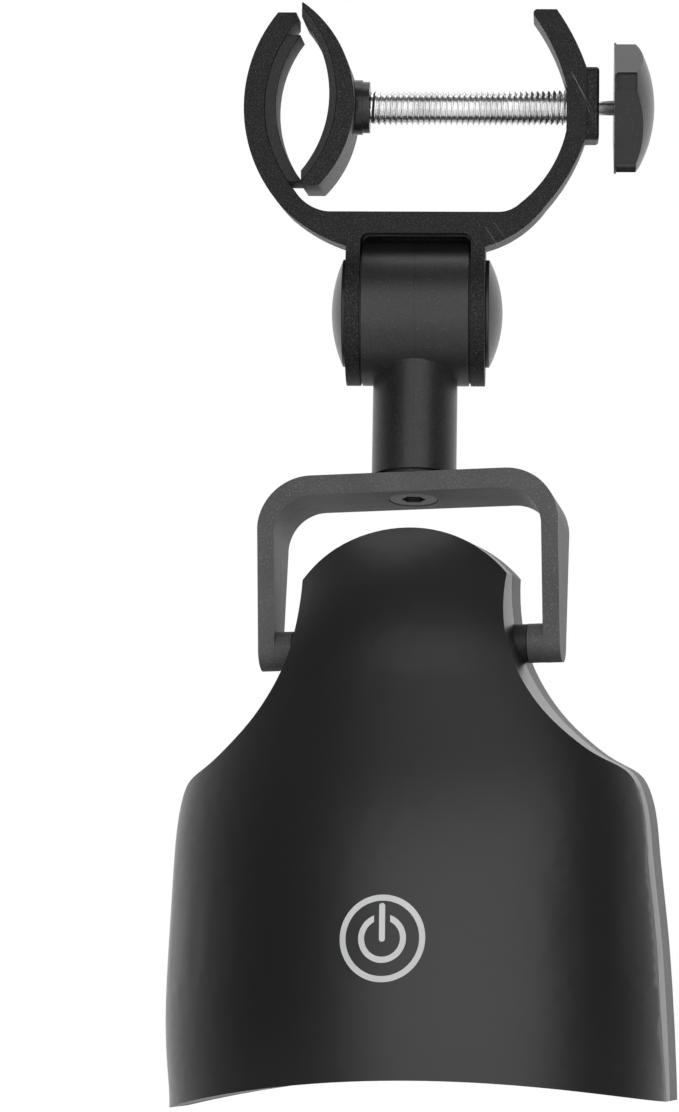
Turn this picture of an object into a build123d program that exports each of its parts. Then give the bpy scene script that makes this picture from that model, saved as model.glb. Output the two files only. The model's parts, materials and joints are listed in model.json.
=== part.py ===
from build123d import *
import math
import os

# Clamp-on barbecue lamp: C-clamp with curved jaws, hinged stem, swivelling yoke, tilting lamp head.
# Millimetres. X runs along the clamp screw, Y along the clamped bar (+Y is the back), Z is up.
# The origin is the centre between the closed jaws.

# clamp frame
FRAME_Y = 9.5           # half depth of the C strap
ARC_C = (20.3, -0.8)    # centre of the fixed jaw's curve
ARM_IN = 28.7
ARM_OUT = 33.3
ARM_TOP = 20.4
BAR_TOP = -24.2
BAR_LOW = -29.0
RIB_LOW = -30.8
BOSS_X = 66.7
BOSS_Y = 8.0
BOSS_Z = (-7.8, 8.6)
ARM_FACE = 59.4

# hinge
HX, HZ = 25.8, -46.6
HINGE_R = 16.4
EAR_IN = 12.4
EAR_OUT = 15.6
DRUM_HALF = 12.0
BOLT_R = 3.0
CAP_R = 12.15

# jaw and screw
JAW_Y = 16.0
PAD_IN = 26.1
PAD_Y = 9.2
MOVE_C = (-20.2, 1.5)
MOVE_PAD = 26.7
MOVE_IN = 28.25
MOVE_BACK_C = (-14.7, 0.0)
MOVE_BACK = 26.7
JAW_CUT = 0.3
SCREW_R = 3.92
KNOB_R = 15.45
KNOB_FLAT = 12.0
NOTCH_TURN = 72.0

# poses built into the rest position, degrees
SWING = 14.4
SWIVEL = 9.8
TIP = 9.4

# stem and yoke, in the stem's frame (Z down the stem is negative)
STEM_R = 9.5
STEM_END = -38.6
BAR_Z = -39.2
BAR_T = 4.5
YOKE_W = 34.0
YOKE_GAP = 30.25
YOKE_D = 8.0
YOKE_D_END = 4.4
PIN_Z = -77.5
SWIVEL_HEAD_R = 5.4
PIN_R = 4.45
AXLE_R = 2.0
BUSH_OUT = 26.4
BOSS_IN = 26.6

# head, in the head's frame: X right, Y back, Z up, origin on the tilt axis
WALL = 2.2
BACK = 12.5
BACK_ROUND = 1.6
HEAD_TOP = 26.2
HEAD_END = -100.7
END_RISE = 6.0
ICON_Z = -64.6
BOARD_Y = -33.4

# what the head holds
SCREWS = [(-12.5, 15.0), (12.5, 15.0), (-47.0, -89.0), (47.0, -89.0)]
LENS = (38.0, -91.4, -64.0)
BAY = (24.4, -55.8, -21.2)
CELL_R = 5.25
CELL_ROWS = [-27.5, -38.5, -49.5]
CELL_Y = 3.5
DOOR_SCREW_Z = -16.6
LED_COLS = [-28.0, -14.0, 0.0, 14.0, 28.0]
LED_ROWS = [-72.2, -83.2]
BOARD_SCREWS = [(-10.5, -58.5), (10.5, -58.5), (-10.5, -75.5), (10.5, -75.5)]

stem_at = Pos(HX, 0, HZ) * Rot(-SWING, 0, 0)
yoke_at = stem_at * Rot(0, 0, -SWIVEL)
head_at = yoke_at * Pos(0, 0, PIN_Z) * Rot(TIP, 0, 0)

os.makedirs("parts", exist_ok=True)


def save(shape, name, place=None):
    if place is not None:
        shape = place * shape
    export_step(shape, "parts/" + name + ".step")


def slab(face, depth):
    """A profile drawn in X and Z, made into a solid from -depth to +depth in Y."""
    return extrude(Plane.XZ * face, depth, both=True)


def disc(x0, x1, r, y=0.0, z=0.0):
    """A cylinder along X."""
    return Pos((x0 + x1) / 2, y, z) * Rot(0, 90, 0) * Cylinder(r, x1 - x0)


def rod_y(y0, y1, r, x=0.0, z=0.0):
    return Pos(x, (y0 + y1) / 2, z) * Rot(90, 0, 0) * Cylinder(r, y1 - y0)


def rod_z(z0, z1, r, x=0.0, y=0.0):
    return Pos(x, y, (z0 + z1) / 2) * Cylinder(r, z1 - z0)


def block(x0, x1, y0, y1, z0, z1):
    centre = Pos((x0 + x1) / 2, (y0 + y1) / 2, (z0 + z1) / 2)
    return centre * Box(x1 - x0, y1 - y0, z1 - z0)


def on_arc(c, r, z, side):
    """The point at height z on a circle, on its left (-1) or right (+1) side."""
    return (c[0] + side * math.sqrt(r * r - (z - c[1]) ** 2), z)


# ---------------------------------------------------------------- clamp

def c_profile():
    out_low = on_arc(ARC_C, ARM_OUT, -25.1, -1)
    left = ThreePointArc(
        on_arc(ARC_C, ARM_OUT, ARM_TOP, -1),
        (ARC_C[0] - ARM_OUT, ARC_C[1]),
        out_low,
    )
    in_low = on_arc(ARC_C, ARM_IN, -19.6, -1)
    inner = ThreePointArc(
        on_arc(ARC_C, ARM_IN, 17.4, -1),
        (ARC_C[0] - ARM_IN, ARC_C[1]),
        in_low,
    )
    lines = [
        left,
        Line((-1.3, ARM_TOP), on_arc(ARC_C, ARM_OUT, ARM_TOP, -1)),
        Line(on_arc(ARC_C, ARM_IN, 17.4, -1), (-1.3, 18.2)),
        Line((-1.3, 18.2), (-1.3, ARM_TOP)),
        inner,
        ThreePointArc(in_low, (2.0, -22.9), (6.0, BAR_TOP)),
        Line((6.0, BAR_TOP), (44.6, BAR_TOP)),
        ThreePointArc((44.6, BAR_TOP), (46.9, -23.7), (49.1, -22.3)),
        ThreePointArc((49.1, -22.3), (56.5, -13.6), (ARM_FACE, -5.8)),
        Line((ARM_FACE, -5.8), (ARM_FACE, 4.0)),
        ThreePointArc((ARM_FACE, 4.0), (56.2, 12.8), (52.0, 19.8)),
        ThreePointArc((52.0, 19.8), (52.0, 20.8), (52.8, 21.2)),
        Line((52.8, 21.2), (57.1, 21.2)),
        ThreePointArc((57.1, 21.2), (60.9, 15.0), (63.8, 8.3)),
        Line((63.8, 8.3), (63.8, -7.2)),
        ThreePointArc((63.8, -7.2), (59.8, -16.0), (55.0, -22.6)),
        ThreePointArc((55.0, -22.6), (49.8, -27.9), (41.4, -32.0)),
        Line((41.4, -32.0), (38.2, -31.0)),
        ThreePointArc((38.2, -31.0), (37.7, -29.6), (36.4, BAR_LOW)),
        Line((36.4, BAR_LOW), (15.2, BAR_LOW)),
        ThreePointArc((15.2, BAR_LOW), (13.9, -29.6), (13.4, -31.0)),
        Line((13.4, -31.0), (10.2, -32.0)),
        ThreePointArc((10.2, -32.0), (3.7, -29.3), out_low),
    ]
    return make_face(lines)


def ear(side):
    """One hinge ear: a plate that widens from the strap to a disc round the hinge axis."""
    x0 = HX + side * EAR_IN
    x1 = HX + side * EAR_OUT
    low, high = min(x0, x1), max(x0, x1)
    r = HINGE_R * 0.985
    y, z = r * math.cos(math.radians(24)), r * math.sin(math.radians(24))
    plate = make_face(Polyline(
        (-FRAME_Y, -29.6), (FRAME_Y, -29.6), (y, HZ + z), (y, HZ), (-y, HZ), (-y, HZ + z),
        close=True,
    ))
    outline = plate + Pos(0, HZ) * Circle(HINGE_R)
    return Pos(low, 0, 0) * extrude(Plane.YZ * outline, high - low)


def clamp_frame():
    body = slab(c_profile(), FRAME_Y)
    boss = block(61.0, BOSS_X, -BOSS_Y, BOSS_Y, *BOSS_Z)
    boss = fillet(boss.edges().filter_by(Axis.X), 1.6)
    body += fillet(boss.faces().sort_by(Axis.X)[-1].edges(), 0.8)
    body += ear(1) + ear(-1)
    body += block(HX - EAR_IN - 1, HX + EAR_IN + 1, 6.0, FRAME_Y, RIB_LOW, BAR_LOW + 1)
    body -= disc(ARM_FACE - 1, BOSS_X + 1, 5.6)
    body -= disc(HX - 30, HX + 30, BOLT_R + 0.05, 0, HZ)
    return body


def clamp_nut():
    return disc(ARM_FACE + 0.3, BOSS_X - 0.2, 5.6) - disc(50, 70, SCREW_R + 0.08)


def arc_pad(c, r_in, r_out, z0, z1, side):
    """A curved strip between two circles with one centre."""
    a, b = on_arc(c, r_in, z0, side), on_arc(c, r_in, z1, side)
    d, e = on_arc(c, r_out, z0, side), on_arc(c, r_out, z1, side)
    mid_in = (c[0] + side * r_in, c[1])
    mid_out = (c[0] + side * r_out, c[1])
    return make_face([
        ThreePointArc(a, mid_in, b),
        Line(b, e),
        ThreePointArc(e, mid_out, d),
        Line(d, a),
    ])


def fixed_jaw_pad():
    return slab(arc_pad(ARC_C, PAD_IN, ARM_IN, -17.6, 15.4, -1), PAD_Y)


def moving_jaw():
    back = slab(Pos(*MOVE_BACK_C) * Circle(MOVE_BACK), JAW_Y)
    front = slab(Pos(*MOVE_C) * Circle(MOVE_IN), JAW_Y + 1)
    body = back - front
    body &= block(JAW_CUT, 20, -JAW_Y, JAW_Y, -18.8, 21.9)
    return body


def moving_jaw_pad():
    pad = slab(arc_pad(MOVE_C, MOVE_PAD, MOVE_IN, -18.4, 20.8, 1), JAW_Y)
    return pad & block(JAW_CUT, 20, -JAW_Y, JAW_Y, -30, 30)


def jaw_collar():
    body = disc(9.8, 13.4, 6.18) + disc(13.4, 15.0, 5.8)
    body -= slab(Pos(*MOVE_BACK_C) * Circle(MOVE_BACK), JAW_Y)
    body -= disc(10.0, 13.5, 3.9)
    body -= disc(13.4, 16.0, 2.58)
    return body


def clamp_screw():
    body = disc(12.2, 13.3, 3.6) + disc(13.2, 15.2, 2.5)
    body += disc(15.2, BOSS_X, SCREW_R)
    body += disc(BOSS_X, 75.0, 1.7)
    return body


def knob():
    """Domed hand knob: four flat sides with a grip notch at each corner between them."""
    rise = 79.2 - 74.6
    ball_r = (KNOB_R ** 2 + rise ** 2) / (2 * rise)
    body = disc(70.1, 79.2, KNOB_R) & (Pos(79.2 - ball_r, 0, 0) * Sphere(ball_r))
    sides = extrude(Plane.YZ * (Rot(0, 0, 45) * Rectangle(2 * KNOB_FLAT, 2 * KNOB_FLAT)), 90)
    body &= Rot(NOTCH_TURN, 0, 0) * sides
    for k in range(4):
        notch = block(70.6, 75.0, -2.2, 2.2, 14.0, 20.0)
        body -= Rot(NOTCH_TURN + 90 * k, 0, 0) * notch
    return body - disc(70.0, 75.0, 1.7)


def dome_cap(side, rise):
    """Domed cover over one end of the hinge bolt."""
    base = HX + side * EAR_OUT
    ball_r = (CAP_R ** 2 + (rise - 0.9) ** 2) / (2 * (rise - 0.9))
    body = rod_z(0, rise, CAP_R) & (Pos(0, 0, rise - ball_r) * Sphere(ball_r))
    body -= rod_z(-1.0, rise - 0.9, 6.0)
    return Pos(base, 0, HZ) * Rot(0, 90 * side, 0) * body


def hexagon(x0, x1, r, z):
    face = RegularPolygon(r, 6)
    return Pos(x0, 0, z) * extrude(Plane.YZ * face, x1 - x0)


def hinge_bolt():
    body = disc(HX - EAR_OUT - 2.0, HX + EAR_OUT + 2.3, BOLT_R - 0.02, 0, HZ)
    return body + hexagon(HX - EAR_OUT - 2.0, HX - EAR_OUT - 0.05, 5.2, HZ)


def hinge_nut():
    body = hexagon(HX + EAR_OUT + 0.05, HX + EAR_OUT + 2.4, 5.2, HZ)
    return body - disc(HX, HX + 40, BOLT_R, 0, HZ)


def hinge_washers():
    left = disc(HX - EAR_IN + 0.1, HX - DRUM_HALF - 0.1, HINGE_R - 0.6, 0, HZ)
    right = disc(HX + DRUM_HALF + 0.1, HX + EAR_IN - 0.1, HINGE_R - 0.6, 0, HZ)
    both = [w - disc(0, 60, BOLT_R + 0.1, 0, HZ) for w in (left, right)]
    return Compound(children=both)


# ---------------------------------------------------------------- stem and yoke

def stem():
    body = disc(-DRUM_HALF, DRUM_HALF, HINGE_R)
    body += rod_z(STEM_END, -2.0, STEM_R)
    body -= disc(-20, 20, BOLT_R + 0.06)
    body -= rod_z(-40, -22.0, 3.1)
    return body


def swivel_insert():
    return rod_z(STEM_END + 0.2, -22.2, 3.1) - rod_z(-40, -24.0, 1.9)


def swivel_screw():
    """Sunk flush into the crossbar's underside."""
    low = BAR_Z - BAR_T
    body = rod_z(low + 0.15, low + 1.5, SWIVEL_HEAD_R)
    body += rod_z(low + 1.4, STEM_END + 0.1, 2.9)
    body += rod_z(STEM_END, -24.4, 1.9)
    recess = extrude(Pos(0, 0, low) * RegularPolygon(2.7, 6), 1.2)
    return body - recess


def swivel_washers():
    return rod_z(BAR_Z + 0.05, STEM_END - 0.05, 8.4) - rod_z(-60, 0, 3.0)


def yoke():
    """Bent strap: crossbar and two tapering arms with round ends and inward bosses."""
    top, low = BAR_Z, PIN_Z - 4.5
    w, g = YOKE_W, YOKE_GAP
    outer = make_face(Polyline((-w, low), (-w, top), (w, top), (w, low), close=True))
    outer = fillet(outer.vertices().filter_by(lambda p: p.Y > top - 1), 12.0)
    inner = make_face(Polyline(
        (-g, low - 5), (-g, top - BAR_T), (g, top - BAR_T), (g, low - 5), close=True,
    ))
    inner = fillet(inner.vertices().filter_by(lambda p: p.Y > low), 8.6)
    strap = slab(outer - inner, YOKE_D)
    side = make_face([
        Line((-YOKE_D, top + 1), (YOKE_D, top + 1)),
        Line((YOKE_D, top + 1), (YOKE_D, top - BAR_T - 6)),
        Line((YOKE_D, top - BAR_T - 6), (YOKE_D_END, PIN_Z)),
        ThreePointArc((YOKE_D_END, PIN_Z), (0, PIN_Z - YOKE_D_END), (-YOKE_D_END, PIN_Z)),
        Line((-YOKE_D_END, PIN_Z), (-YOKE_D, top - BAR_T - 6)),
        Line((-YOKE_D, top - BAR_T - 6), (-YOKE_D, top + 1)),
    ])
    strap &= extrude(Plane.YZ * side, 60, both=True)
    strap += disc(-g - 1, -BOSS_IN, PIN_R - 0.1, 0, PIN_Z)
    strap += disc(BOSS_IN, g + 1, PIN_R - 0.1, 0, PIN_Z)
    strap -= disc(-w + 1.2, -20, AXLE_R, 0, PIN_Z)
    strap -= disc(20, w - 1.2, AXLE_R, 0, PIN_Z)
    strap -= rod_z(-60, 0, 3.0)
    strap -= rod_z(-60, top - BAR_T + 1.6, SWIVEL_HEAD_R + 0.1)
    return strap


def tilt_pins():
    left = disc(-YOKE_W + 1.4, -17.5, AXLE_R, 0, PIN_Z)
    right = disc(17.5, YOKE_W - 1.4, AXLE_R, 0, PIN_Z)
    return Compound(children=[left, right])


# ---------------------------------------------------------------- head

# half widths of the plan outline, from the round top down one side
OUTLINE = [
    (23.0, 15.2), (23.2, 5.0), (25.0, -3.0), (28.0, -9.5), (32.5, -16.0), (38.5, -22.0),
    (44.5, -26.4), (49.2, -29.4), (51.3, -33.5), (52.9, -46.0), (54.2, -62.0), (55.1, -80.0),
]
# front surface: height, half width of its ellipse, depth in front of the tilt axis
BULGE = [
    (28.0, 24.0, 4.0), (22.0, 25.0, 9.0), (15.0, 27.0, 13.6), (9.0, 31.0, 16.6),
    (3.0, 35.5, 19.0), (-4.0, 40.5, 21.2), (-12.0, 45.0, 23.8), (-20.0, 48.6, 26.6),
    (-28.0, 51.4, 29.5), (-46.0, 54.4, 35.0), (-66.0, 55.8, 38.4), (-86.0, 56.6, 39.8),
    (-106.0, 57.0, 40.2),
]


def plan(inset):
    """The head's plan outline in X and Z: round top, waist for the yoke, bell shoulders."""
    pts = [(x - inset, z) for x, z in OUTLINE]
    end = HEAD_END + inset
    last = (55.45 - inset, end)
    right = Spline(*pts, last)
    left = mirror(right, Plane.YZ)
    top = ThreePointArc((-pts[0][0], pts[0][1]), (0, HEAD_TOP - inset), pts[0])
    low = ThreePointArc((-last[0], end), (0, end + END_RISE), last)
    return make_face([right, left, top, low])


def bulge(inset, back):
    """The deep bell-like front surface, lofted down the head and closed by a flat back."""
    faces = []
    for z, a, b in BULGE:
        a, b = a - inset, max(b - inset, 0.5)
        arc = EllipticalCenterArc((0, 0), a, b, start_angle=180, arc_size=180)
        sketch = make_face([arc, Line((a, 0), (a, back)), Line((a, back), (-a, back)),
                            Line((-a, back), (-a, 0))])
        faces.append(Pos(0, 0, z) * sketch)
    return loft(faces)


def head_body(inset):
    flat = extrude(Plane.XZ * plan(inset), 60, both=True)
    body = bulge(inset, BACK - inset) & flat
    return fillet(body.faces().sort_by(Axis.Y)[-1].edges(), BACK_ROUND - inset / 2)


def split():
    outer = head_body(0)
    inner = head_body(WALL)
    front = outer & block(-80, 80, -60, -0.05, -130, 60)
    rear = outer & block(-80, 80, 0.05, 60, -130, 60)
    return front - inner, rear - inner, outer, inner


def power_shapes(depth):
    """The power symbol: outer ring, broken inner ring and bar, as prisms through the front."""
    outer = Circle(9.3) - Circle(8.0)
    gap = Pos(0, 5) * Rectangle(3.5, 10)
    inner = Circle(5.2) - Circle(3.9) - gap
    bar = Pos(0, 3.4) * RectangleRounded(1.3, 8.2, 0.6)
    out = []
    for face in (outer, inner, bar):
        out.append(Pos(0, 0, ICON_Z) * extrude(Plane.XZ * face, depth))
    return out


def icon_inlay(outer):
    """The printed power symbol as a thin skin let into the front surface."""
    skin = outer - head_body(0.25)
    solids = []
    for prism in power_shapes(60):
        solids += (prism & skin).solids()
    return Compound(children=[p for p in solids if p.center().Y < 0])


def front_cover(front, inner, icon):
    body = front
    for x, z in SCREWS:
        post = rod_y(-60, -0.3, 3.4, x, z) & inner
        body += post
        body -= rod_y(-9.0, 5.0, 1.45, x, z)
    for x, z in BOARD_SCREWS:
        post = rod_y(-60, BOARD_Y - 0.05, 2.2, x, z) & inner
        body += post
        body -= rod_y(BOARD_Y - 2.1, -20.0, 0.9, x, z)
    for side in (-1, 1):
        body -= disc(side * 24 - 8, side * 24 + 8, 4.36)
    return body - icon


def rear_housing(rear, inner):
    body = rear
    for x, z in SCREWS:
        body += rod_y(0.1, BACK - 2.0, 3.4, x, z)
        body -= rod_y(-5.0, 20.0, 1.6, x, z)
        body -= rod_y(BACK - 2.6, 20.0, 2.8, x, z)
    w, low, high = LENS
    body -= block(-w - 0.1, w + 0.1, BACK - 1.5, 20, low - 0.1, high + 0.1)
    body -= block(-w + 1.5, w - 1.5, BACK - 5, 20, low + 1.5, high - 1.5)
    w, low, high = BAY
    body += block(-6.5, 6.5, BACK - 6, BACK - 2, high, high + 9.5)
    body -= block(-w, w, BACK - 5, 20, low, high)
    body -= block(-5.2, 5.2, BACK - 2, 20, high - 1, high + 7.2)
    body -= rod_y(0.0, 20, 1.0, 0, DOOR_SCREW_Z)
    for side in (-1, 1):
        body -= disc(side * 24 - 8, side * 24 + 8, 4.36)
    return body


def tilt_bushes():
    left = disc(-BUSH_OUT, -17.6, 4.3) - disc(-40, 0, AXLE_R + 0.06)
    right = disc(17.6, BUSH_OUT, 4.3) - disc(0, 40, AXLE_R + 0.06)
    return Compound(children=[left, right])


def housing_screws():
    out = []
    for x, z in SCREWS:
        screw = rod_y(-8.5, BACK - 2.5, 1.44, x, z) + rod_y(BACK - 2.58, BACK - 0.9, 2.6, x, z)
        cross = block(x - 0.35, x + 0.35, BACK - 1.7, BACK, z - 1.6, z + 1.6)
        cross += block(x - 1.6, x + 1.6, BACK - 1.7, BACK, z - 0.35, z + 0.35)
        out.append(screw - cross)
    return Compound(children=out)


def battery_tray():
    w, low, high = BAY
    body = block(-w - 1.4, w + 1.4, CELL_Y - 7.6, BACK - 2.4, low - 1.4, high + 1.4)
    body -= block(-w, w, CELL_Y - 6.2, 20, low, high)
    body -= block(-6.7, 6.7, BACK - 6.2, 20, high - 1, high + 4)
    return body


def battery_door():
    w, low, high = BAY
    body = block(-w + 0.3, w - 0.3, BACK - 1.8, BACK, low + 0.3, high - 0.3)
    body += block(-4.9, 4.9, BACK - 1.8, BACK, high - 1, high + 6.9)
    body -= rod_y(0, 20, 1.15, 0, DOOR_SCREW_Z)
    body -= rod_y(BACK - 1.0, 20, 2.1, 0, DOOR_SCREW_Z)
    for k in range(5):
        z = low + 4.0 + 1.6 * k
        body -= block(-9.0, 9.0, BACK - 0.5, 20, z, z + 0.8)
    return body


def door_screw():
    z = DOOR_SCREW_Z
    body = rod_y(BACK - 5.4, BACK - 0.9, 0.92, 0, z) + rod_y(BACK - 0.95, BACK - 0.05, 1.95, 0, z)
    return body - block(-1.2, 1.2, BACK - 0.5, 20, z - 0.3, z + 0.3)


def batteries():
    out = []
    for k, z in enumerate(CELL_ROWS):
        end = -1 if k % 2 else 1
        tip = disc(min(end * 21.5, end * 22.6), max(end * 21.5, end * 22.6), 1.9, CELL_Y, z)
        out.append(disc(-21.9, 21.9, CELL_R, CELL_Y, z) + tip)
    return Compound(children=out)


def battery_contacts():
    """Contact plates at the plus ends and springs, as short blocks, at the minus ends."""
    out = []
    for k, z in enumerate(CELL_ROWS):
        end = -1 if k % 2 else 1
        out.append(disc(min(end * 22.65, end * 23.1), max(end * 22.65, end * 23.1), 3.6, CELL_Y, z))
        out.append(disc(min(-end * 21.95, -end * 24.3), max(-end * 21.95, -end * 24.3), 3.0, CELL_Y, z))
    return Compound(children=out)


def led_lens():
    w, low, high = LENS
    return block(-w, w, BACK - 1.45, BACK - 0.1, low, high)


def reflector():
    w, low, high = LENS
    body = block(-w + 2, w - 2, BACK - 7.0, BACK - 2.3, low + 2, high - 2)
    for x in LED_COLS:
        for z in LED_ROWS:
            cone = Pos(x, BACK - 4.6, z) * Rot(-90, 0, 0) * Cone(2.9, 5.0, 4.8)
            body -= cone
    return body


def led_board():
    w, low, high = LENS
    return block(-w + 2, w - 2, BACK - 8.7, BACK - 7.1, low + 2, high - 2)


def leds():
    out = []
    for x in LED_COLS:
        for z in LED_ROWS:
            body = rod_y(BACK - 7.0, BACK - 5.0, 2.5, x, z) + Pos(x, BACK - 5.0, z) * Sphere(2.5)
            out.append(body & rod_y(BACK - 7.05, BACK, 2.6, x, z))
    return Compound(children=out)


def control_board():
    body = block(-13.0, 13.0, BOARD_Y, BOARD_Y + 1.5, -78.0, -56.0)
    for x, z in BOARD_SCREWS:
        body -= rod_y(-40, -20, 1.1, x, z)
    return body


def touch_plate():
    face = BOARD_Y - 1.2
    return rod_y(face, face + 0.4, 8.0, 0, ICON_Z) + rod_y(face + 0.3, BOARD_Y - 0.05, 1.5, 0, ICON_Z)


def board_screws():
    out = []
    for x, z in BOARD_SCREWS:
        shaft = rod_y(BOARD_Y - 2.0, BOARD_Y + 1.7, 0.9, x, z)
        out.append(shaft + rod_y(BOARD_Y + 1.55, BOARD_Y + 2.6, 1.9, x, z))
    return Compound(children=out)


def board_wires():
    out = []
    start = BOARD_Y + 1.6
    for x, z, end in ((-6, -69, BACK - 8.8), (-3, -69, BACK - 8.8),
                      (3, -57.0, CELL_Y - 7.7), (6, -57.0, CELL_Y - 7.7)):
        out.append(rod_y(start, end, 0.6, x, z))
    return Compound(children=out)


save(clamp_frame(), "clamp_frame")
save(clamp_nut(), "clamp_nut")
save(fixed_jaw_pad(), "fixed_jaw_pad")
save(moving_jaw(), "moving_jaw")
save(moving_jaw_pad(), "moving_jaw_pad")
save(jaw_collar(), "jaw_collar")
save(clamp_screw(), "clamp_screw")
save(knob(), "knob")
save(dome_cap(-1, 3.5), "left_hinge_cap")
save(dome_cap(1, 3.9), "right_hinge_cap")
save(hinge_bolt(), "hinge_bolt")
save(hinge_nut(), "hinge_nut")
save(hinge_washers(), "hinge_washers")

save(stem(), "stem", stem_at)
save(swivel_insert(), "swivel_insert", stem_at)
save(swivel_screw(), "swivel_screw", stem_at)

save(yoke(), "yoke", yoke_at)
save(swivel_washers(), "swivel_washers", yoke_at)
save(tilt_pins(), "tilt_pins", yoke_at)

front_shell, rear_shell, head_outer, head_inner = split()
power_icon = icon_inlay(head_outer)
save(power_icon, "power_symbol", head_at)
save(front_cover(front_shell, head_inner, power_icon), "front_cover", head_at)
save(rear_housing(rear_shell, head_inner), "rear_housing", head_at)
save(tilt_bushes(), "tilt_bushes", head_at)
save(housing_screws(), "housing_screws", head_at)
save(battery_tray(), "battery_tray", head_at)
save(batteries(), "batteries", head_at)
save(battery_contacts(), "battery_contacts", head_at)
save(battery_door(), "battery_door", head_at)
save(door_screw(), "door_screw", head_at)
save(led_lens(), "led_lens", head_at)
save(reflector(), "reflector", head_at)
save(led_board(), "led_board", head_at)
save(leds(), "leds", head_at)
save(control_board(), "control_board", head_at)
save(touch_plate(), "touch_plate", head_at)
save(board_screws(), "board_screws", head_at)
save(board_wires(), "board_wires", head_at)
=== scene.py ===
"""Looks of a clamp-on barbecue lamp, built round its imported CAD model. Metres."""
import json
import math

import bmesh
import bpy
from mathutils import Matrix, Vector


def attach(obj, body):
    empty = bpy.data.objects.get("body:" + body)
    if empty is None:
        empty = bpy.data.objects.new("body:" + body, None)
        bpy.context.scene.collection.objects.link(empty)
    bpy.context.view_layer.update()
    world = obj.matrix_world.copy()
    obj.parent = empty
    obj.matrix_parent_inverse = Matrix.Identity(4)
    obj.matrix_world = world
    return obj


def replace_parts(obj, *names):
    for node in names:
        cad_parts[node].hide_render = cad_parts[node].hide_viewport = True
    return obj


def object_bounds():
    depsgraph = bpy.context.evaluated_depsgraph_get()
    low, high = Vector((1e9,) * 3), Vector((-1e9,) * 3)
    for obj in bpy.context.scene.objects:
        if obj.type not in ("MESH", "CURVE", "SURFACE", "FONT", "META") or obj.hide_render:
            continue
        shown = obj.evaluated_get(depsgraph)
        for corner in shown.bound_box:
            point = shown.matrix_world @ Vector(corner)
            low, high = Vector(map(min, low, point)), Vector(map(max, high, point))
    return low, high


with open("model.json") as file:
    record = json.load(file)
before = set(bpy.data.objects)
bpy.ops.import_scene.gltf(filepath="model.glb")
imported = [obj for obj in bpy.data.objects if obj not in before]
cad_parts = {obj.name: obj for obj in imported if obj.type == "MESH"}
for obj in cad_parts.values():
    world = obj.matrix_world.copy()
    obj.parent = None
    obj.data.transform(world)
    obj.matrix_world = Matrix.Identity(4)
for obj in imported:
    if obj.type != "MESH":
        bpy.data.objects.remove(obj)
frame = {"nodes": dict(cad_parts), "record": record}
cad_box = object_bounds()
nodes = frame["nodes"]

MM = 0.001

# where things are in the CAD: the hinge's centre, the stem's swing and the yoke's swivel
HINGE = Vector((25.8, 0.0, -46.6)) * MM
SWING, SWIVEL = math.radians(14.4), math.radians(9.8)

stem_frame = Matrix.Translation(HINGE) @ Matrix.Rotation(-SWING, 4, "X")
yoke_frame = stem_frame @ Matrix.Rotation(-SWIVEL, 4, "Z")

# clamp screw, along the X axis
SCREW_R = 4.0 * MM
PITCH = 1.25 * MM
THREAD_FROM, THREAD_TO = 15.2 * MM, 66.7 * MM
THREAD_DEPTH = 0.56 * MM
CREST_GAP = 0.03 * MM       # the crest lies this far under the nominal radius
ROOT_GAP = 0.05 * MM        # the core lies this far under the thread's root
# one pitch of thread: share of the pitch, share of the depth cut away
THREAD_SHAPE = ((0.0, 0.0), (0.14, 0.0), (0.28, 0.32), (0.5, 1.0), (0.62, 1.0), (0.86, 0.32))
ROUND_STEPS = 48

# fine scratches in the strap's coating: the normal of each one's plane, and a point on it in mm
SCRATCH_WIDTH = 0.07 * MM
SCRATCHES = (((0.83, 0.0, 0.56), (41.0, 0.0, -27.0)), ((0.8, 0.0, 0.6), (43.6, 0.0, -27.0)),
             ((0.9, 0.1, 0.43), (62.0, 0.0, 2.0)), ((0.86, 0.0, 0.5), (57.5, 0.0, 12.0)))

# camera
CAMERA_AT = Vector((56.2, -1042.5, -102.9)) * MM
CAMERA_YAW, CAMERA_PITCH, CAMERA_ROLL = 2.605, 0.077, -0.383
PICTURE_WIDTH = 679
FOCAL = 4611.9              # in the same unit as the picture's width
SENSOR = 36.0               # millimetres

# light and floor
AIM = (0.02, 0.0, -0.12)
FLOOR_DROP = 0.32
# how bright the surroundings are in reflections, from in front of the lamp to behind it
SURROUNDINGS = ((0.0, 0.1), (0.36, 0.07), (0.5, 0.28), (0.62, 0.7), (0.8, 1.1), (1.0, 1.4))


# ------------------------------------------------------------ materials

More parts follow.
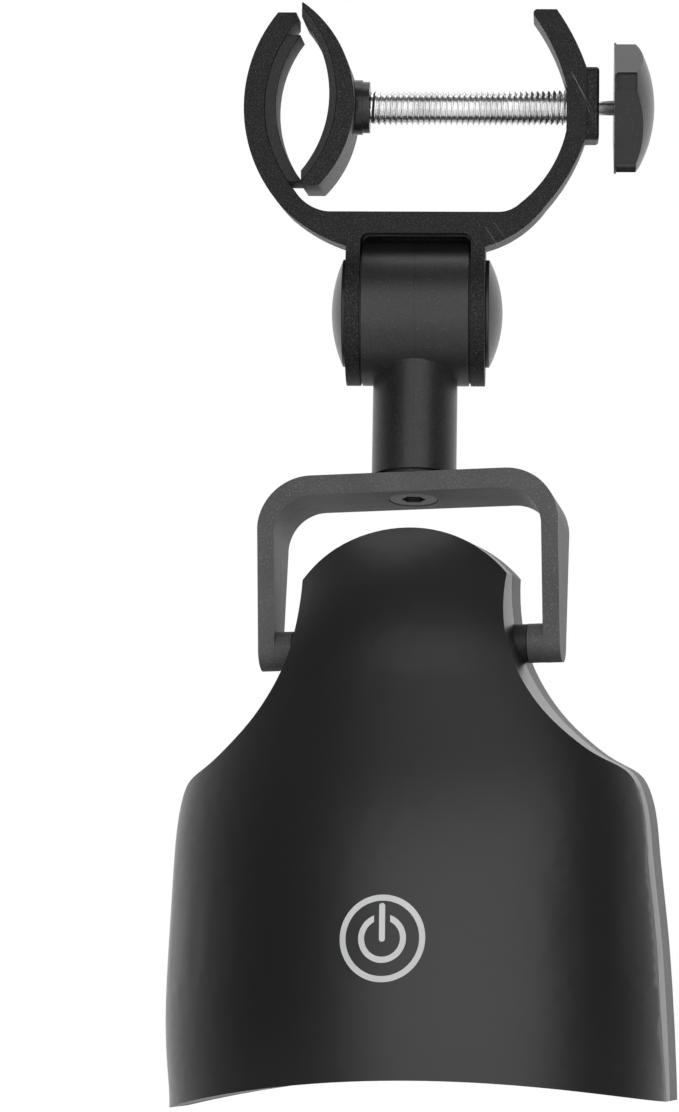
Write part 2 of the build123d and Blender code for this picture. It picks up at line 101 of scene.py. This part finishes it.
class Nodes:
    """Short hand for a material's node tree."""

    def __init__(self, name):
        self.material = bpy.data.materials.new(name)
        self.material.use_nodes = True
        self.tree = self.material.node_tree
        self.shader = self.tree.nodes["Principled BSDF"]
        self.place = self.add("ShaderNodeTexCoord").outputs["Object"]

    def add(self, kind, **settings):
        node = self.tree.nodes.new(kind)
        for key, value in settings.items():
            setattr(node, key, value)
        return node

    def link(self, source, target):
        self.tree.links.new(source, target)

    def noise(self, scale, detail=2.0, roughness=0.5, stretch=None):
        node = self.add("ShaderNodeTexNoise")
        node.inputs["Scale"].default_value = scale
        node.inputs["Detail"].default_value = detail
        node.inputs["Roughness"].default_value = roughness
        source = self.place
        if stretch:
            mapping = self.add("ShaderNodeMapping")
            mapping.inputs["Scale"].default_value = stretch
            self.link(source, mapping.inputs["Vector"])
            source = mapping.outputs["Vector"]
        self.link(source, node.inputs["Vector"])
        return node.outputs["Fac"]

    def ramp(self, value, *stops):
        node = self.add("ShaderNodeValToRGB")
        ramp = node.color_ramp
        while len(ramp.elements) < len(stops):
            ramp.elements.new(0.5)
        for element, (at, color) in zip(ramp.elements, stops):
            element.position = at
            element.color = (*color, 1.0)
        self.link(value, node.inputs["Fac"])
        return node.outputs["Color"]

    def span(self, value, low, high, from_low=0.0, from_high=1.0):
        node = self.add("ShaderNodeMapRange")
        node.inputs["From Min"].default_value = from_low
        node.inputs["From Max"].default_value = from_high
        node.inputs["To Min"].default_value = low
        node.inputs["To Max"].default_value = high
        self.link(value, node.inputs["Value"])
        return node.outputs["Result"]

    def bump(self, height, strength, distance, normal=None):
        node = self.add("ShaderNodeBump")
        node.inputs["Strength"].default_value = strength
        node.inputs["Distance"].default_value = distance
        self.link(height, node.inputs["Height"])
        if normal:
            self.link(normal, node.inputs["Normal"])
        return node.outputs["Normal"]

    def line(self, normal, through, width):
        """1 inside a thin band round the plane through a point, 0 outside it."""
        dot = self.add("ShaderNodeVectorMath", operation="DOT_PRODUCT")
        self.link(self.place, dot.inputs[0])
        dot.inputs[1].default_value = normal
        node = self.add("ShaderNodeMath", operation="COMPARE")
        node.inputs[1].default_value = Vector(normal).dot(through)
        node.inputs[2].default_value = width / 2
        self.link(dot.outputs["Value"], node.inputs[0])
        return node.outputs["Value"]

    def times(self, a, b):
        node = self.add("ShaderNodeMath", operation="MULTIPLY")
        self.link(a, node.inputs[0])
        self.link(b, node.inputs[1])
        return node.outputs["Value"]

    def mix(self, factor, a, b):
        node = self.add("ShaderNodeMix", data_type="RGBA")
        self.link(factor, node.inputs["Factor"])
        for value, socket in ((a, node.inputs[6]), (b, node.inputs[7])):
            if isinstance(value, tuple):
                socket.default_value = (*value, 1.0)
            else:
                self.link(value, socket)
        return node.outputs[2]


def grey(value):
    """A neutral tone with a trace of blue."""
    return (value, value, value * 1.02)


def grained(name, base, roughness, grain, depth, spread=0.2, coarse=0.0, seam=None):
    """Moulded or coated black surface: tone drift, fine grain in bump and gloss, pale specks painted into
    the colour as glints (painted highlights), a parting line.
    """
    m = Nodes(name)
    fine = m.noise(grain, 3.0, 0.6)
    drift = m.noise(60.0, 2.0)
    tone = m.ramp(drift, (0.3, grey(base * (1 - spread))), (0.7, grey(base * (1 + spread))))
    # painted glints: pale specks mixed into the colour that stand for sparkles of light on the grain
    painted_glint = m.span(m.noise(grain * 1.3, 1.0), 0.0, 0.6, 0.58, 0.72)
    tone = m.mix(painted_glint, tone, grey(base * 2.6 + 0.02))
    normal = m.bump(fine, 0.5, depth)
    if coarse:
        normal = m.bump(m.noise(grain * 0.45, 2.0), 0.5, coarse, normal)
    if seam:
        line = m.line(*seam)
        tone = m.mix(line, tone, grey(base * 0.3))
        normal = m.bump(line, -0.5, 0.0001, normal)
    m.link(tone, m.shader.inputs["Base Color"])
    m.link(m.span(fine, roughness - 0.06, roughness + 0.08, 0.3, 0.7), m.shader.inputs["Roughness"])
    m.link(normal, m.shader.inputs["Normal"])
    return m.material


def coated(name):
    """Coarse black powder coat: pebbled, with pale specks painted on the grain as glints (painted
    highlights) and a few fine scratches.
    """
    m = Nodes(name)
    grain = m.noise(2400.0, 3.0, 0.65)
    pebble = m.noise(900.0, 2.0)
    # painted glints: pale specks in the colour that stand for sparkles of light on the coat's grain
    painted_glint = m.span(m.noise(4200.0, 1.0), 0.0, 0.9, 0.56, 0.7)
    tone = m.ramp(pebble, (0.3, grey(0.002)), (0.7, grey(0.006)))
    tone = m.mix(painted_glint, tone, grey(0.07))
    patch = m.span(m.noise(140.0, 1.0), 0.0, 1.0, 0.48, 0.56)
    for normal, through in SCRATCHES:
        scratch = m.times(m.line(normal, Vector(through) * MM, SCRATCH_WIDTH), patch)
        tone = m.mix(scratch, tone, grey(0.2))
    m.link(tone, m.shader.inputs["Base Color"])
    m.link(m.span(grain, 0.42, 0.6, 0.3, 0.7), m.shader.inputs["Roughness"])
    m.link(m.bump(pebble, 0.35, 0.00012, m.bump(grain, 0.6, 0.00012)), m.shader.inputs["Normal"])
    m.shader.inputs["Specular IOR Level"].default_value = 0.24
    return m.material


def satin_cover(name):
    """Smooth satin plastic with faint flow marks and a very fine tooth."""
    m = Nodes(name)
    flow = m.noise(30.0, 3.0, 0.55, stretch=(1.0, 1.0, 0.35))
    fine = m.noise(3200.0, 2.0)
    m.link(m.ramp(flow, (0.3, grey(0.008)), (0.7, grey(0.0095))), m.shader.inputs["Base Color"])
    m.link(m.span(fine, 0.33, 0.39, 0.3, 0.7), m.shader.inputs["Roughness"])
    m.link(m.bump(fine, 0.25, 0.00002), m.shader.inputs["Normal"])
    return m.material


def metal(name, base, roughness, stretch, tint=(1.0, 1.0, 1.0)):
    """Bare or plated metal with clouding and fine tool marks drawn out by stretch."""
    m = Nodes(name)
    brush = m.noise(1500.0, 2.0, 0.6, stretch=stretch)
    cloud = m.noise(180.0, 2.0)
    low = tuple(base * 0.82 * t for t in tint)
    high = tuple(min(1.0, base * 1.08 * t) for t in tint)
    m.link(m.ramp(cloud, (0.3, low), (0.7, high)), m.shader.inputs["Base Color"])
    m.link(m.span(brush, roughness * 0.85, roughness * 1.2, 0.3, 0.7), m.shader.inputs["Roughness"])
    m.link(m.bump(brush, 0.12, 0.00002), m.shader.inputs["Normal"])
    m.shader.inputs["Metallic"].default_value = 1.0
    return m.material


def plastic(name, color, roughness, grain=700.0):
    """Coloured plastic or print with a slight drift of tone and a fine grain."""
    m = Nodes(name)
    drift = m.noise(60.0, 2.0)
    low = tuple(c * 0.88 for c in color)
    high = tuple(min(1.0, c * 1.1) for c in color)
    fine = m.noise(grain, 2.0)
    m.link(m.ramp(drift, (0.3, low), (0.7, high)), m.shader.inputs["Base Color"])
    m.link(m.span(fine, roughness - 0.06, roughness + 0.08, 0.3, 0.7), m.shader.inputs["Roughness"])
    m.link(m.bump(fine, 0.35, 0.00004), m.shader.inputs["Normal"])
    return m.material


def paper(name):
    """White paper with a faint tooth, for the floor."""
    m = Nodes(name)
    tooth = m.noise(900.0, 2.0)
    m.link(m.ramp(tooth, (0.3, grey(0.89)), (0.7, grey(0.9))), m.shader.inputs["Base Color"])
    m.link(m.bump(tooth, 0.1, 0.00003), m.shader.inputs["Normal"])
    m.shader.inputs["Roughness"].default_value = 0.9
    return m.material


def clear(name, roughness):
    """Clear moulded plastic with a slight haze."""
    m = Nodes(name)
    haze = m.noise(160.0, 2.0)
    m.link(m.span(haze, roughness, roughness + 0.05, 0.3, 0.7), m.shader.inputs["Roughness"])
    m.link(m.ramp(haze, (0.3, (0.93, 0.95, 0.96)), (0.7, (1.0, 1.0, 1.0))), m.shader.inputs["Base Color"])
    m.link(m.bump(m.noise(700.0), 0.1, 0.00005), m.shader.inputs["Normal"])
    m.shader.inputs["Transmission Weight"].default_value = 1.0
    m.shader.inputs["IOR"].default_value = 1.49
    return m.material


MATERIALS = {
    "frame_black": coated("frame_black"),
    "rubber_black": grained("rubber_black", 0.008, 0.62, 1500.0, 0.00005),
    "plastic_satin": grained("plastic_satin", 0.014, 0.36, 2600.0, 0.00002),
    "plastic_textured": grained("plastic_textured", 0.055, 0.55, 2600.0, 0.00007),
    "dark_steel": grained("dark_steel", 0.012, 0.34, 1800.0, 0.00002),
    "nylon_black": grained("nylon_black", 0.012, 0.5, 1500.0, 0.00003),
    "zinc_steel": metal("zinc_steel", 0.86, 0.24, (0.05, 1.0, 1.0)),
    "brass": metal("brass", 0.75, 0.3, (1.0, 1.0, 0.2), (1.0, 0.78, 0.42)),
    "clear_lens": clear("clear_lens", 0.04),
    "reflector_silver": metal("reflector_silver", 0.85, 0.12, (1.0, 1.0, 1.0)),
    "board_green": plastic("board_green", (0.02, 0.14, 0.06), 0.35, 1800.0),
    "led_dome": clear("led_dome", 0.08),
    "cell_skin": plastic("cell_skin", (0.22, 0.23, 0.25), 0.3),
    "symbol_grey": plastic("symbol_grey", (0.61, 0.62, 0.63), 0.45, 1600.0),
    "wire_red": plastic("wire_red", (0.55, 0.04, 0.03), 0.45),
}
COVER = satin_cover("cover_satin")
STEM = grained("stem_satin", 0.012, 0.38, 2300.0, 0.00006, seam=((1, 0, 0), HINGE, 0.18 * MM))
YOKE = grained("yoke_textured", 0.075, 0.55, 2600.0, 0.00007,
               seam=(yoke_frame.col[1].xyz, HINGE, 0.2 * MM))


def dress(obj, slot):
    obj.data.materials.clear()
    obj.data.materials.append(MATERIALS[slot])


for part in frame["record"]["subparts"]:
    dress(nodes[part["node"]], part["material_slot"])


# ------------------------------------------------------------ pieces

def new_piece(name, mesh_builder, slot, body):
    """A mesh piece built by a function that fills a bmesh."""
    mesh = bpy.data.meshes.new(name)
    bm = bmesh.new()
    mesh_builder(bm)
    bmesh.ops.recalc_face_normals(bm, faces=bm.faces)
    bm.to_mesh(mesh)
    bm.free()
    obj = bpy.data.objects.new(name, mesh)
    bpy.context.scene.collection.objects.link(obj)
    for polygon in mesh.polygons:
        polygon.use_smooth = True
    mesh.materials.append(MATERIALS[slot])
    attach(obj, body)
    return obj


# ------------------------------------------------------------ softened edges

def softened(node, width, material=None, angle=28.0):
    """A copy of a CAD node whose sharp edges are rounded, standing for the node."""
    mesh = nodes[node].data.copy()
    bm = bmesh.new()
    bm.from_mesh(mesh)
    bmesh.ops.remove_doubles(bm, verts=bm.verts, dist=1e-6)
    bmesh.ops.dissolve_limit(bm, angle_limit=math.radians(0.6), verts=bm.verts, edges=bm.edges)
    sharp = [e for e in bm.edges if len(e.link_faces) == 2
             and e.calc_face_angle(0) > math.radians(angle)]
    bmesh.ops.bevel(bm, geom=sharp, offset=width, offset_type="WIDTH", segments=3, profile=0.5,
                    affect="EDGES", clamp_overlap=True)
    bm.to_mesh(mesh)
    bm.free()
    mesh.materials.clear()
    slot = next(p["material_slot"] for p in frame["record"]["subparts"] if p["node"] == node)
    mesh.materials.append(material or MATERIALS[slot])
    for polygon in mesh.polygons:
        polygon.use_smooth = True
    piece = bpy.data.objects.new(node + "_soft", mesh)
    bpy.context.scene.collection.objects.link(piece)
    weigh = piece.modifiers.new("weigh", "WEIGHTED_NORMAL")
    weigh.keep_sharp = True
    mesh.set_sharp_from_angle(angle=math.radians(40))
    graph = bpy.context.evaluated_depsgraph_get()
    piece.data = bpy.data.meshes.new_from_object(piece.evaluated_get(graph))
    piece.modifiers.clear()
    body = next(b for b, names in frame["record"]["behaviour"]["bodies"].items() if node in names)
    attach(piece, body)
    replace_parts(piece, node)
    return piece


for node, width in (("clamp_frame", 0.45), ("moving_jaw", 0.5), ("moving_jaw_pad", 0.3),
                    ("fixed_jaw_pad", 0.3), ("jaw_collar", 0.25), ("knob", 0.5),
                    ("left_hinge_cap", 0.3), ("right_hinge_cap", 0.3),
                    ("rear_housing", 0.4), ("battery_door", 0.3), ("swivel_screw", 0.2)):
    softened(node, width * MM)
softened("stem", 0.3 * MM, STEM)
softened("yoke", 0.5 * MM, YOKE)
softened("front_cover", 0.7 * MM, COVER)


# ------------------------------------------------------------ clamp screw

def lathe(bm, profile, steps):
    """Turn a profile of (x, radius) points round the X axis."""
    rings = []
    for x, radius in profile:
        if radius == 0:
            rings.append([bm.verts.new((x, 0, 0))])
            continue
        ring = []
        for k in range(steps):
            a = 2 * math.pi * k / steps
            ring.append(bm.verts.new((x, radius * math.cos(a), radius * math.sin(a))))
        rings.append(ring)
    for low, high in zip(rings, rings[1:]):
        for k in range(steps):
            n = (k + 1) % steps
            if len(low) == 1:
                bm.faces.new((low[0], high[k], high[n]))
            elif len(high) == 1:
                bm.faces.new((low[k], low[n], high[0]))
            else:
                bm.faces.new((low[k], low[n], high[n], high[k]))


def screw(bm):
    """A real helical thread between a grooved end and a thin shank."""
    turns = int((THREAD_TO - THREAD_FROM) / PITCH) + 1
    rows = []
    for turn in range(-1, turns + 1):
        for share, dip in THREAD_SHAPE:
            row = []
            for k in range(ROUND_STEPS + 1):
                x = THREAD_FROM + (turn + share + k / ROUND_STEPS) * PITCH
                # the thread runs in and out over one pitch at each end
                run_in, run_out = (x - THREAD_FROM) / PITCH, (THREAD_TO - x) / PITCH
                fade = min(1.0, max(0.0, run_in), max(0.0, run_out))
                x = min(max(x, THREAD_FROM), THREAD_TO)
                a = 2 * math.pi * k / ROUND_STEPS
                r = SCREW_R - THREAD_DEPTH * max(dip, 1.0 - fade) - CREST_GAP
                row.append(bm.verts.new((x, r * math.sin(a), r * math.cos(a))))
            rows.append(row)
    for low, high in zip(rows, rows[1:]):
        for k in range(ROUND_STEPS):
            bm.faces.new((low[k], low[k + 1], high[k + 1], high[k]))
    bmesh.ops.remove_doubles(bm, verts=bm.verts, dist=1e-7)
    bmesh.ops.dissolve_degenerate(bm, edges=bm.edges, dist=1e-7)
    root = (SCREW_R - THREAD_DEPTH - ROOT_GAP) / MM
    # x and radius in mm: the end held by the jaw, the thread's core and the shank in the knob
    core = ((12.2, 0), (12.2, 3.4), (12.3, 3.6), (13.2, 3.6), (13.3, 3.4), (13.3, 2.5), (13.4, 2.48),
            (15.1, 2.48), (15.2, root), (15.3, root), (66.4, root), (66.5, 1.72),
            (66.6, 1.68), (74.8, 1.68), (74.9, 1.6), (74.9, 0))
    lathe(bm, [(x * MM, r * MM) for x, r in core], ROUND_STEPS)


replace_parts(new_piece("threaded_screw", screw, "zinc_steel", "screw"), "clamp_screw")


# ------------------------------------------------------------ camera, light and floor

def turn(axis, degrees):
    return Matrix.Rotation(math.radians(degrees), 3, axis)


def add_camera():
    data = bpy.data.cameras.new("camera")
    camera = bpy.data.objects.new("camera", data)
    bpy.context.scene.collection.objects.link(camera)
    axes = turn("Z", CAMERA_YAW) @ turn("X", CAMERA_PITCH) @ turn("Y", CAMERA_ROLL)
    # a Blender camera looks along its own -Z with +Y up
    look = axes @ turn("X", 90)
    camera.matrix_world = Matrix.Translation(CAMERA_AT) @ look.to_4x4()
    data.sensor_fit = "HORIZONTAL"
    data.sensor_width = SENSOR
    data.lens = FOCAL * SENSOR / PICTURE_WIDTH
    data.clip_start = 0.05
    data.clip_end = 20.0
    bpy.context.scene.camera = camera


def area_light(name, at, size, power):
    """A white softbox turned towards the lamp."""
    data = bpy.data.lights.new(name, "AREA")
    data.shape = "RECTANGLE"
    data.size, data.size_y = size
    data.energy = power
    light = bpy.data.objects.new(name, data)
    light.location = at
    light.rotation_euler = (Vector(AIM) - Vector(at)).to_track_quat("-Z", "Y").to_euler()
    bpy.context.scene.collection.objects.link(light)


def add_world():
    """White for the camera; for reflections a dim room that brightens behind the lamp."""
    world = bpy.data.worlds.new("studio")
    world.use_nodes = True
    tree = world.node_tree
    place = tree.nodes.new("ShaderNodeTexCoord")
    split = tree.nodes.new("ShaderNodeSeparateXYZ")
    tree.links.new(place.outputs["Generated"], split.inputs["Vector"])
    depth = tree.nodes.new("ShaderNodeValToRGB")
    while len(depth.color_ramp.elements) < len(SURROUNDINGS):
        depth.color_ramp.elements.new(0.5)
    for element, (at, value) in zip(depth.color_ramp.elements, SURROUNDINGS):
        element.position = at
        element.color = (value, value, value, 1.0)
    half = tree.nodes.new("ShaderNodeMath")
    half.operation = "MULTIPLY_ADD"
    half.inputs[1].default_value = 0.5
    half.inputs[2].default_value = 0.5
    tree.links.new(split.outputs["Y"], half.inputs[0])
    tree.links.new(half.outputs["Value"], depth.inputs["Fac"])
    path = tree.nodes.new("ShaderNodeLightPath")
    pick = tree.nodes.new("ShaderNodeMix")
    pick.data_type = "RGBA"
    tree.links.new(path.outputs["Is Camera Ray"], pick.inputs["Factor"])
    tree.links.new(depth.outputs["Color"], pick.inputs[6])
    pick.inputs[7].default_value = (1.0, 1.0, 1.0, 1.0)
    tree.links.new(pick.outputs[2], tree.nodes["Background"].inputs["Color"])
    bpy.context.scene.world = world


def add_floor():
    """A wide white table well below the lamp."""
    low = cad_box[0][2] - FLOOR_DROP
    bm = bmesh.new()
    lathe(bm, [(0.0, 0), (0.0, 0.8), (0.0, 1.6), (-0.02, 1.7)], 96)
    bm.transform(Matrix.Translation((0.03, 0, low)) @ Matrix.Rotation(-math.pi / 2, 4, "Y"))
    mesh = bpy.data.meshes.new("floor")
    bm.to_mesh(mesh)
    bm.free()
    floor = bpy.data.objects.new("floor", mesh)
    bpy.context.scene.collection.objects.link(floor)
    mesh.materials.append(paper("floor_paper"))


bpy.context.scene.view_settings.view_transform = "Standard"
add_camera()
add_world()
add_floor()
area_light("front_box", (0.14, -1.35, 0.2), (1.9, 1.7), 16.4)
area_light("top_box", (0.0, 0.1, 1.3), (1.2, 0.4), 3.5)
